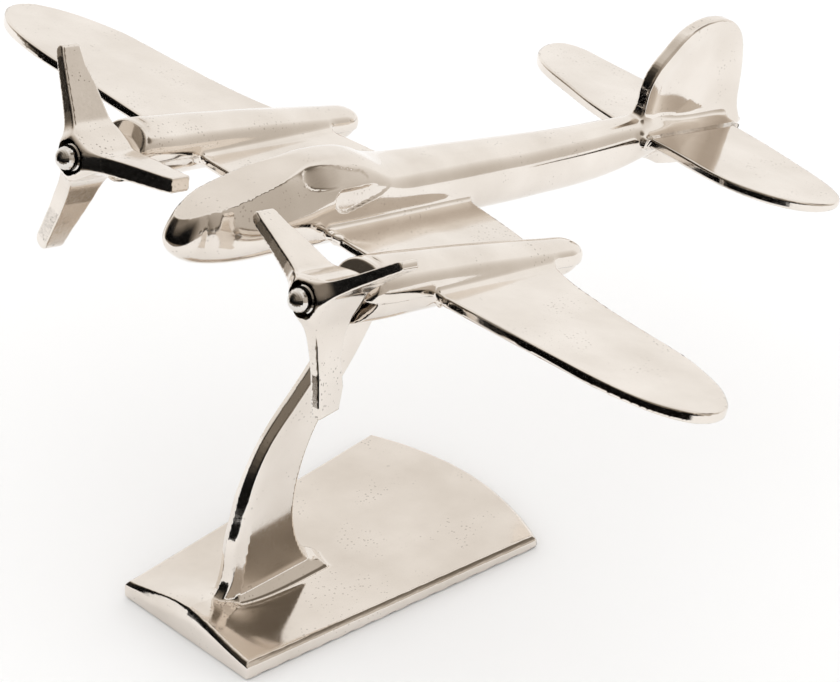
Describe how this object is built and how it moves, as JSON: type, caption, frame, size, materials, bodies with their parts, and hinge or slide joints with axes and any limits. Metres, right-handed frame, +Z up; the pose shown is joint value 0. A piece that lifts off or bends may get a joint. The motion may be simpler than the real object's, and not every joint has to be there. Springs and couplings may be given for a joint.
{
  "type": "desk aeroplane model",
  "caption": "Polished cast-metal propeller aeroplane with free-spinning propellers, held nose-up on a curved strut and a fan-shaped base.",
  "frame": {"origin": "on the flat underside of the stand's base, under the middle of the wings", "axes": "+X towards the aircraft's port wing tip, nose towards -Y, +Z up"},
  "size_m": [0.3386, 0.2691, 0.1888],
  "materials": {
    "polished_cast_aluminium": "mirror-polished casting with faint casting pits and hand-polishing marks",
    "polished_steel_pin": "polished dome-head pins, collars and spacers",
    "hidden_steel_fixing": "plain steel screws and stud, hidden in use"
  },
  "bodies": {
    "airframe_and_stand": {"fuselage": "polished_cast_aluminium", "wing_port": "polished_cast_aluminium", "wing_starboard": "polished_cast_aluminium", "nacelle_port": "polished_cast_aluminium", "nacelle_starboard": "polished_cast_aluminium", "fin": "polished_cast_aluminium", "tailplane_port": "polished_cast_aluminium", "tailplane_starboard": "polished_cast_aluminium", "stand_strut": "polished_cast_aluminium", "stand_base": "polished_cast_aluminium", "propeller_pin_port": "polished_steel_pin", "propeller_pin_starboard": "polished_steel_pin", "collar_port": "polished_steel_pin", "collar_starboard": "polished_steel_pin", "spacer_port": "polished_steel_pin", "spacer_starboard": "polished_steel_pin", "stand_stud": "hidden_steel_fixing", "foot_screw_front": "hidden_steel_fixing", "foot_screw_rear": "hidden_steel_fixing"},
    "port_propeller": {"propeller_port": "polished_cast_aluminium"},
    "starboard_propeller": {"propeller_starboard": "polished_cast_aluminium"}
  },
  "joints": [
    {"name": "propeller_port_spin", "type": "hinge", "parent": "airframe_and_stand", "child": "port_propeller", "pos_m": [0.0564, -0.04665, 0.15914], "axis": [0, 0.9664, -0.2571], "continuous": true},
    {"name": "propeller_starboard_spin", "type": "hinge", "parent": "airframe_and_stand", "child": "starboard_propeller", "pos_m": [-0.0564, -0.04665, 0.15914], "axis": [0, 0.9664, -0.2571], "continuous": true}
  ]
}
